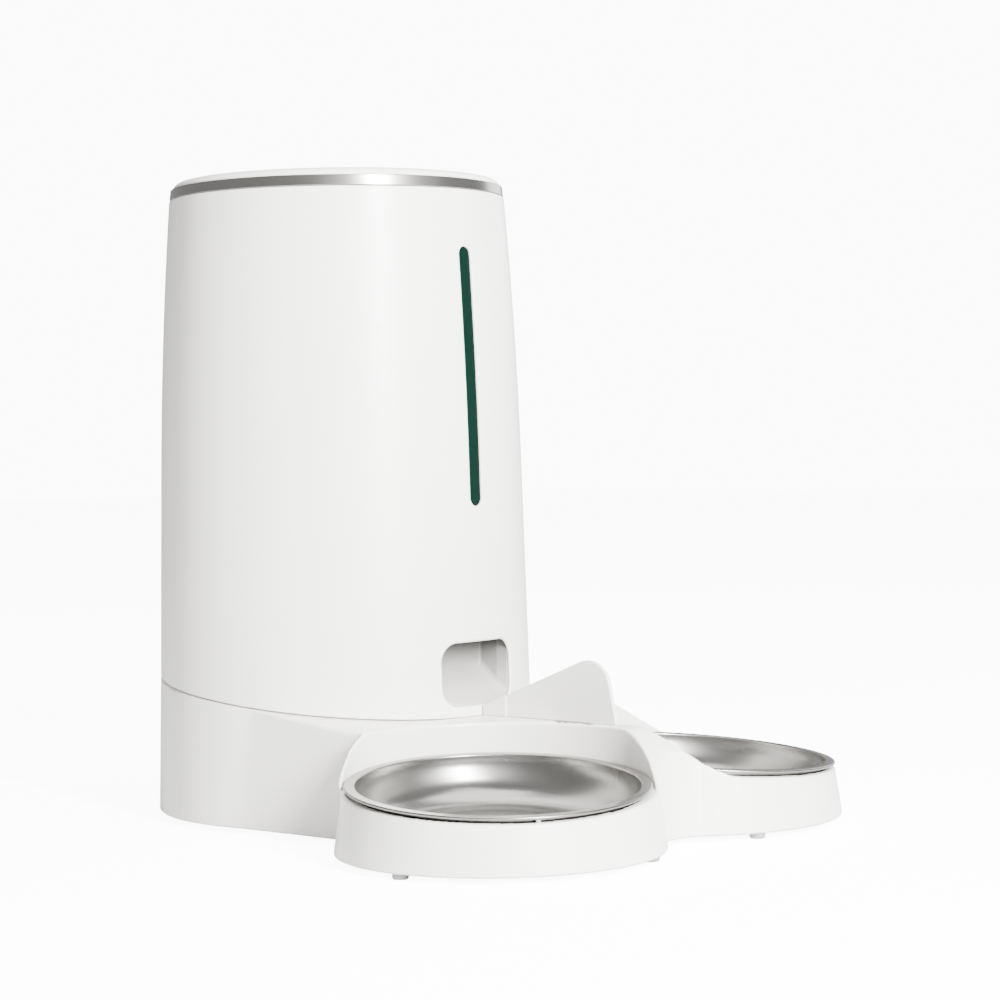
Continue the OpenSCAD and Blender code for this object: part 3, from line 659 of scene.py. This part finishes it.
def edge_lit_plastic(name, colour, glow, half_width, rough):
    """Dark plastic with painted light along one long edge, brighter by its place across the bar."""
    s = Shader(name)
    split = s.node("ShaderNodeSeparateXYZ", Vector=s.where)
    # painted light: the bar's brighter long edge
    across = s.spread(split.outputs[0], 1, 0, -half_width, -half_width + 0.0012)
    body = s.tint(s.spread(s.noise(30, 3), 0, 1), [c * 0.9 for c in colour], colour)
    mixed = s.node("ShaderNodeMix")
    mixed.data_type = "RGBA"
    s.feed(mixed, 0, across)
    s.feed(mixed, 6, body)
    mixed.inputs[7].default_value = (*glow, 1)
    s.set("Base Color", mixed.outputs[2])
    s.set("Roughness", s.spread(s.noise(120, 3), rough - 0.03, rough + 0.04))
    s.set("IOR", 1.3)
    s.set("Specular IOR Level", 0.12)
    s.bump(s.noise(500, 2), 0.03, 0.0001)
    return s.material


def turned_metal(name, colour, rough, aniso, turns):
    """Satin metal brushed in circles about the object's own Z axis."""
    s = Shader(name)
    split = s.node("ShaderNodeSeparateXYZ", Vector=s.where)
    flat = s.node("ShaderNodeCombineXYZ", X=split.outputs[0], Y=split.outputs[1])
    length = s.node("ShaderNodeVectorMath", Vector=flat.outputs[0])
    length.operation = "LENGTH"
    rings = s.node("ShaderNodeCombineXYZ", X=length.outputs["Value"], Z=split.outputs[2])
    lines = s.noise(turns, 4, vector=rings.outputs[0])
    broad = s.noise(18, 3)
    s.set("Base Color", s.tint(s.spread(lines, 0, 1), [c * 0.93 for c in colour], colour))
    s.set("Roughness", s.spread(broad, rough - 0.03, rough + 0.05))
    s.bump(lines, 0.05, 0.00008)
    s.set("Metallic", 1.0)
    s.set("Anisotropic", aniso)
    tangent = s.node("ShaderNodeTangent")
    tangent.direction_type = "RADIAL"
    tangent.axis = "Z"
    s.set("Tangent", tangent.outputs[0])
    return s.material


def plain_metal(name, colour, rough):
    """Drawn or machined metal with fine lines along one direction."""
    s = Shader(name)
    lines = s.noise(60, 3, stretch=(1, 1, 30))
    s.set("Base Color", s.tint(s.spread(lines, 0, 1), [c * 0.86 for c in colour], colour))
    s.set("Roughness", s.spread(s.noise(90, 3), rough - 0.06, rough + 0.08))
    s.bump(lines, 0.08, 0.0001)
    s.set("Metallic", 1.0)
    return s.material


def rubber(name, colour, rough=0.7):
    """Matt rubber or silicone with a fine rough skin."""
    s = Shader(name)
    s.set("Base Color", s.tint(s.spread(s.noise(60, 4), 0, 1), [c * 0.85 for c in colour], colour))
    s.set("Roughness", s.spread(s.noise(300, 3), rough - 0.08, rough + 0.06))
    s.bump(s.noise(900, 3), 0.25, 0.0001)
    return s.material


def clear_plastic(name, colour, rough, through):
    """Smoked or frosted plastic that lets some light through."""
    s = Shader(name)
    s.set("Base Color", s.tint(s.spread(s.noise(30, 3), 0, 1), [c * 0.9 for c in colour], colour))
    s.set("Roughness", s.spread(s.noise(120, 3), rough - 0.03, rough + 0.04))
    s.set("Transmission Weight", through)
    s.set("IOR", 1.49)
    s.bump(s.noise(500, 2), 0.03, 0.0001)
    return s.material


def cloth_pouch(name, colour):
    """Woven pouch: the wave texture's bands stand for its threads."""
    s = Shader(name)
    weave = s.node("ShaderNodeTexWave", Vector=s.where, Scale=240, Distortion=1.5)
    s.set("Base Color", s.tint(weave.outputs[1], [c * 0.8 for c in colour], colour))
    s.set("Roughness", s.spread(s.noise(200, 3), 0.75, 0.92))
    s.bump(s.noise(700, 3), 0.4, 0.0002)
    return s.material


MATERIALS = {
    "white_shell": plastic("white_shell", (0.84, 0.825, 0.79), 0.36, 0.05, 0.25),
    # white_inner is the white plastic dulled to dark grey: painted shade for the parts inside the shell
    "white_inner": plastic("white_inner", (0.32, 0.313, 0.296), 0.45),
    "splitter_plastic": plastic("splitter_plastic", (0.80, 0.79, 0.765), 0.34, 0.04),
    "grey_plastic": plastic("grey_plastic", (0.58, 0.60, 0.59), 0.42),
    "bowl_steel": turned_metal("bowl_steel", (0.25, 0.245, 0.235), 0.24, 0.6, 900),
    "ring_metal": turned_metal("ring_metal", (0.33, 0.325, 0.31), 0.2, 0.5, 1200),
    # window_green carries painted light along the lens bar's long edge
    "window_green": edge_lit_plastic(
        "window_green", (0.002, 0.010, 0.007), (0.010, 0.10, 0.065), 0.0044, 0.3),
    "hopper_clear": clear_plastic("hopper_clear", (0.62, 0.70, 0.66), 0.22, 0.7),
    "silicone": rubber("silicone", (0.42, 0.44, 0.43), 0.55),
    "foot_rubber": rubber("foot_rubber", (0.30, 0.30, 0.30)),
    "gear_plastic": plastic("gear_plastic", (0.80, 0.75, 0.60), 0.40),
    "shaft_steel": plain_metal("shaft_steel", (0.62, 0.63, 0.64), 0.28),
    "bronze": plain_metal("bronze", (0.62, 0.43, 0.20), 0.34),
    "motor_metal": plain_metal("motor_metal", (0.55, 0.56, 0.57), 0.38),
    "board_green": plastic("board_green", (0.03, 0.20, 0.08), 0.35),
    "black_plastic": plastic("black_plastic", (0.025, 0.026, 0.028), 0.48),
    "cell_wrap": plastic("cell_wrap", (0.05, 0.16, 0.10), 0.25),
    "lead_red": plastic("lead_red", (0.45, 0.03, 0.02), 0.45),
    "light_green": clear_plastic("light_green", (0.40, 0.80, 0.50), 0.2, 0.5),
    "desiccant_blue": cloth_pouch("desiccant_blue", (0.42, 0.56, 0.68)),
}


def paint(obj, slot):
    """Gives a new piece the material of a slot in the record."""
    obj.data.materials.clear()
    obj.data.materials.append(MATERIALS[slot])


def finish_piece(obj, body, slot, *nodes):
    """Paints a piece, lets it ride on a body, and hides the CAD nodes that it stands for."""
    paint(obj, slot)
    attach(obj, body)
    if nodes:
        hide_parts(*nodes)


# ---------- tower ----------

def make_tower():
    """The shell; its grid is fine round the outlet, the slit and the top, and coarse between."""
    near = 34 / tower_r
    angles = spaced([(-math.pi, 0.045), (-near, 0.0095), (near, 0.045), (math.pi, 1)])[:-1]
    heights = spaced([
        (53, 0.9), (100, 4), (162, 1.0), (174, 4), (292, 1.0), (305, 3), (327, 0.8), (333, 1),
    ])
    depths = spaced([(-wall - 1.5, 0.55), (1.4, 1)])
    shell = netted("tower_skin", angles, heights, depths, on_tower, tower_field, wrap=True)
    finish_piece(shell, "housing", "white_shell", "tower_shell")


def make_tower_inside():
    """The lip that locates the tower on the base, and the ledge that the hopper hangs on."""
    lip = rounded([
        (lip_r, -5.5, 0.3), (lip_r + lip_t, -5.5, 0.3), (lip_r + lip_t, 4.5, 0.3), (lip_r, 4.5, 0.3),
    ])
    band = lathe("tower_lip", lip, shift=lambda x, y: seam_z + seam_slope * y)
    finish_piece(band, "housing", "white_shell")
    ledge = rounded([
        (hopper_r + 0.8, hopper_seat - 3, 0.4), (hopper_ledge_r, hopper_seat - 3, 0.4),
        (hopper_ledge_r, hopper_seat, 0.3), (hopper_r + 0.8, hopper_seat, 0.5),
    ])
    finish_piece(lathe("hopper_ledge", ledge), "housing", "white_shell")


def make_lens():
    """The bar that fills the slit, with its flange behind the wall."""
    near = 9 / tower_r
    angles = spaced([(-near, 0.0055), (near, 1)])
    heights = spaced([(slit_low - 5, 0.6), (slit_low + 8, 2.5), (slit_high - 8, 0.6), (slit_high + 5, 1)])
    depths = spaced([(-wall - 2, 0.35), (0, 1)])
    lens = netted("window_lens_bar", angles, heights, depths, on_tower, lens_field)
    finish_piece(lens, "housing", "window_green", "window_lens")


def past(y, z, at, direction):
    """Distance beyond a plane through at, where direction is its unit normal; both are (forward, up)."""
    return (y - at[0]) * direction[0] + (z - at[1]) * direction[1]


def chute_air(x, y, z):
    """Space inside the chute: a slide below the deck's hole that ends at the outlet's lower lip."""
    half = chute_half + chute_flare * np.clip((y - 89) / 8, 0, 1)
    floor = -past(y, z, (chute_back, chute_bend), chute_floor_dir)
    back = np.minimum(chute_back - y, -past(y, z, (chute_back, chute_back_z), chute_back_dir))
    steep, shallow = chute_roof_dirs
    roof = np.minimum(past(y, z, chute_roof, steep), past(y, z, chute_roof, shallow))
    air = round_max(round_max(x - half, floor, 3), back, 1.2)
    return np.maximum(air, roof)


def chute_field(p):
    x, y, z = np.abs(p[..., 0]), -p[..., 1], p[..., 2]
    air = chute_air(x, y, z)
    solid = np.maximum(np.hypot(x, y) - tower_rad(z) + wall - 0.6, z - deck_z + 0.3)
    solid = np.maximum(solid, 39 - y)
    return np.maximum(np.maximum(solid, air - chute_wall), -air)


def make_chute():
    """The slide behind the outlet; its plastic carries painted shade, darker upwards, where less light gets
    in.
    """
    xs = spaced([(-30, 0.9), (30, 1)])
    ys = spaced([(-100.5, 0.9), (-70, 1.6), (-37, 1)])
    zs = spaced([(57, 0.9), (100, 1.6), (128, 1)])
    slide = netted("chute_slide", xs, ys, zs, straight, chute_field)
    finish_piece(slide, "housing", "white_inner", "chute")
    # painted shade: the chute's colour runs from grey at its floor to near black higher up
    slide.data.materials[0] = painted_shade_plastic(
        "chute_painted_shade", (0.46, 0.45, 0.43), (0.07, 0.068, 0.064), 0.070, 0.094, 0.5)


# ---------- base ----------

def make_base():
    """The shell of the base; its grid is fine along the middle, at the trays and at their edges' height."""
    xs = spaced([(-159, 1.4), (-33, 0.95), (33, 1.4), (159, 1)])
    ys = spaced([(-266.5, 1.6), (-246, 1.1), (-98, 2.2), (104.5, 1)])
    zs = spaced([(1.2, 1.9), (29, 1.0), (42, 1.4), (81, 1)])
    base = netted("base_skin", xs, ys, zs, straight, base_field)
    finish_piece(base, "housing", "white_shell", "base_shell")


# ---------- lid ----------

def make_lid():
    """The domed top with the plug under it, and the metal band round its edge."""
    edge_r = ring_r - 1.75
    edge_z = ring_z + ring_h - 0.5
    rise = lid_top - lid_crown - edge_z
    flat_r = edge_r - shoulder_w
    steps = 14
    dome = [(flat_r * i / steps, lid_top - lid_crown * (i / steps) ** 2) for i in range(steps)]
    turn = [math.pi / 2 * i / steps for i in range(steps)]
    dome += [(flat_r + shoulder_w * math.sin(t), edge_z + rise * math.cos(t)) for t in turn]
    under = [
        (edge_r, edge_z), (edge_r, ring_z + 0.4, 0.3),
        (plug_r, ring_z + 0.4), (plug_r, ring_z - 3.8, 0.4),
        (seal_r, ring_z - 3.8), (seal_r, hopper_seat + 1, 0.5),
        (seal_in_r, hopper_seat + 1, 0.5), (seal_in_r, ring_z + 0.4, 0.8), (0, ring_z + 0.4),
    ]
    outline = rounded(dome + under)
    finish_piece(lathe("lid_top", outline, 220), "lid", "white_shell", "lid_cover")
    band = rounded([
        (ring_r - 1.6, ring_z, 0.2), (ring_r, ring_z, 0.45),
        (ring_r - 0.5, ring_z + ring_h, 0.7), (ring_r - 1.6, ring_z + ring_h, 0.2),
    ])
    finish_piece(lathe("lid_band", band, 220), "lid", "ring_metal", "lid_ring")


# ---------- food hopper ----------

def make_hopper():
    """The food tank: a flanged neck, a tapering foot, a straight wall and a rim."""
    foot = hopper_foot
    rim_low = hopper_seat + 0.1
    rim_high = hopper_seat + 2.6
    outline = rounded([
        (hopper_neck_r, foot, 0.4), (hopper_flange_r, foot, 0.6), (hopper_flange_r, foot + 2, 0.6),
        (hopper_neck_r + 4, foot + 2, 2), (hopper_r - 2, foot + 34, 12), (hopper_r, hopper_bend, 8),
        (hopper_r, rim_low, 0.3), (hopper_rim_r, rim_low, 0.5), (hopper_rim_r, rim_high, 0.9),
        (hopper_r - hopper_t, rim_high, 0.9), (hopper_r - hopper_t, hopper_bend, 8),
        (hopper_r - hopper_t - 2, foot + 35, 12), (hopper_neck_r, foot + 3, 0.5),
    ])
    finish_piece(lathe("hopper_wall", outline), "food_hopper", "hopper_clear", "hopper")


# ---------- bowls ----------

def bowl_outline():
    """One bowl's section: a quarter ellipse from foot to rim, in sheet of one thickness."""
    inner_r = rim_r - rim_w
    reach = inner_r - bowl_foot_r
    steps = 22
    turn = [math.pi / 2 * i / steps for i in range(steps)]
    inside = [(bowl_foot_r + reach * math.sin(t), -bowl_depth * math.cos(t)) for t in turn]
    outside = [
        (bowl_foot_r + (reach + steel_t) * math.sin(t), -steel_t - bowl_depth * math.cos(t))
        for t in turn[::-1]
    ]
    rim = [
        (inner_r, 0, 1.2), (rim_r, 0, 1.0), (rim_r, -1.3, 0.25), (rim_r - 0.6, -1.3, 0.25),
        (rim_r - 0.8, -steel_t, 0.2), (inner_r + steel_t, -steel_t, 0.8),
    ]
    return rounded([(0, -bowl_depth), *inside, *rim, *outside, (0, -bowl_depth - steel_t)])


def make_bowls():
    """Both bowls, mirrored about the middle; each leans outwards about its own level axis."""
    axis = Vector((math.cos(lean_dir), math.sin(lean_dir), 0))
    for side, name in ((1, "right"), (-1, "left")):
        turned = Matrix.Rotation(lean, 4, Vector((axis.x, axis.y * side, 0)))
        place = Matrix.Translation((side * bowl_x * MM, (tower_y - bowl_y) * MM, rim_z * MM)) @ turned
        bowl = lathe(name + "_bowl_steel", bowl_outline(), 200, place)
        finish_piece(bowl, "bowl_" + name, "bowl_steel", name + "_bowl")


# ---------- food splitter ----------

def make_splitter():
    """The upright fin, its thicker root by the tower and the tab that goes into the slot."""
    foot_z = plateau_z + 0.1
    fin = rounded([
        (tower_r + 0.3, 0), (tower_r + 0.3, 4.8, 1.5), (splitter_peak, splitter_h, splitter_nose),
        (splitter_y, 0, 1),
    ], 16)

    def upright(a, b, c):
        return c, tower_y - a, foot_z + b

    blade = extruded("splitter_blade", fin, splitter_t / 2, upright, 0.5)
    finish_piece(blade, "food_splitter", "splitter_plastic", "splitter")
    root = rounded([(101.6, 0), (117.4, 0, 0.5), (117.4, 11.4, 1), (101.6, 5.3, 1)])
    foot = extruded("splitter_root", root, root_t / 2, upright, 0.3)
    finish_piece(foot, "food_splitter", "splitter_plastic")
    near, far = slot_y - 10, slot_y + 10
    tab = [(near, 0.3), (far, 0.3), (far, -7), (far - 1, -8), (near + 1, -8), (near, -7)]
    key = extruded("splitter_tab", tab, tab_t / 2, upright, 0.3)
    finish_piece(key, "food_splitter", "splitter_plastic")


# ---------- CAD nodes that stay ----------

def finish_cad_nodes():
    """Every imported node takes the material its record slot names, and soft edges where seen."""
    slots = {part["node"]: part["material_slot"] for part in frame["record"]["subparts"]}
    for name, obj in frame["nodes"].items():
        if not obj.material_slots:
            obj.data.materials.append(None)
        for slot in obj.material_slots:
            slot.link = "OBJECT"
            slot.material = MATERIALS[slots[name]]
    seen = {
        "bottom_cover": 0.4, "battery_door": 0.5, "feed_button": 0.8, "rubber_feet": 0.5,
        "power_inlet": 0.3, "status_light": 0.5, "desiccant_cap": 0.4, "desiccant_holder": 0.4,
        "portion_rotor": 0.4, "agitator": 0.5, "rotor_housing": 0.4, "support_deck": 0.3,
    }
    for name, width in seen.items():
        obj = frame["nodes"][name]
        weld = obj.modifiers.new("one_skin", "WELD")
        weld.merge_threshold = 0.00001
        soften(obj, width, 3, 40)


# ---------- stage ----------

def make_floor():
    """Plain pale paper that glows to the camera only, so that it fades into the backdrop."""
    bm = bmesh.new()
    bmesh.ops.create_grid(bm, x_segments=8, y_segments=8, size=floor_half)
    mesh = bpy.data.meshes.new("floor")
    bm.to_mesh(mesh)
    bm.free()
    floor = link("floor", mesh)
    s = Shader("floor_paper")
    s.set("Base Color", s.tint(s.noise(2, 2), (0.93, 0.93, 0.93), (0.95, 0.95, 0.95)))
    s.set("Roughness", s.spread(s.noise(30, 2), 0.7, 0.8))
    s.set("Emission Color", (1, 1, 1, 1))
    seen = s.node("ShaderNodeLightPath").outputs["Is Camera Ray"]
    glow = s.node("ShaderNodeMapRange", Value=seen)
    glow.inputs["To Max"].default_value = floor_glow
    s.set("Emission Strength", glow.outputs[0])
    mesh.materials.append(s.material)


def area_light(name, place, target, size, power):
    """A white soft box, size in metres and power in watts, that faces its target."""
    data = bpy.data.lights.new(name, "AREA")
    data.shape = "RECTANGLE"
    data.size, data.size_y = size
    data.energy = power
    obj = bpy.data.objects.new(name, data)
    bpy.context.scene.collection.objects.link(obj)
    obj.location = place
    obj.rotation_mode = "QUATERNION"
    obj.rotation_quaternion = (Vector(place) - Vector(target)).to_track_quat("Z", "Y")


def make_lights():
    """A dim even surround, a white backdrop seen only by the camera, and soft boxes."""
    world = bpy.data.worlds.new("studio")
    world.use_nodes = True
    tree = world.node_tree
    surround = tree.nodes["Background"]
    surround.inputs["Color"].default_value = (1, 1, 1, 1)
    surround.inputs["Strength"].default_value = surround_strength
    backdrop = tree.nodes.new("ShaderNodeBackground")
    backdrop.inputs["Strength"].default_value = backdrop_strength
    seen = tree.nodes.new("ShaderNodeLightPath")
    choice = tree.nodes.new("ShaderNodeMixShader")
    tree.links.new(seen.outputs["Is Camera Ray"], choice.inputs[0])
    tree.links.new(surround.outputs[0], choice.inputs[1])
    tree.links.new(backdrop.outputs[0], choice.inputs[2])
    tree.links.new(choice.outputs[0], tree.nodes["World Output"].inputs["Surface"])
    bpy.context.scene.world = world
    middle = (0, 0, 0.16)
    area_light("key", (-0.62, -1.85, 0.95), middle, (0.24, 1.1), 262)
    area_light("top", (0.1, -0.25, 1.7), (0, -0.05, 0), (1.2, 1.2), 30)
    area_light("far_side", (1.6, 0.2, 0.9), middle, (0.9, 1.1), 14)


def make_camera():
    """The photograph's viewing angle: its turn, distance, height, tilt and lens."""
    azimuth = math.radians(45.168)
    distance = 1.41985
    height = 0.20415
    yaw = math.radians(-3.464)
    pitch = math.radians(1.503)
    roll = math.radians(-0.985)
    back = Vector((-math.sin(azimuth), -math.cos(azimuth), 0))
    place = back * distance + Vector((0, tower_y * MM, height))
    ahead = Matrix.Rotation(yaw, 3, "Z") @ -back
    right = Vector((ahead.y, -ahead.x, 0))
    ahead = ahead * math.cos(pitch) - Vector((0, 0, math.sin(pitch)))
    up = right.cross(ahead)
    side = right * math.cos(roll) + up * math.sin(roll)
    top = up * math.cos(roll) - right * math.sin(roll)
    data = bpy.data.cameras.new("camera")
    data.sensor_width = 36
    data.lens = 93.6
    camera = bpy.data.objects.new("camera", data)
    bpy.context.scene.collection.objects.link(camera)
    turned = Matrix((side, top, -ahead)).transposed().to_4x4()
    camera.matrix_world = Matrix.Translation(place) @ turned
    bpy.context.scene.camera = camera


make_tower()
make_tower_inside()
make_lens()
make_chute()
make_base()
make_lid()
make_hopper()
make_bowls()
make_splitter()
finish_cad_nodes()
make_floor()
make_lights()
make_camera()
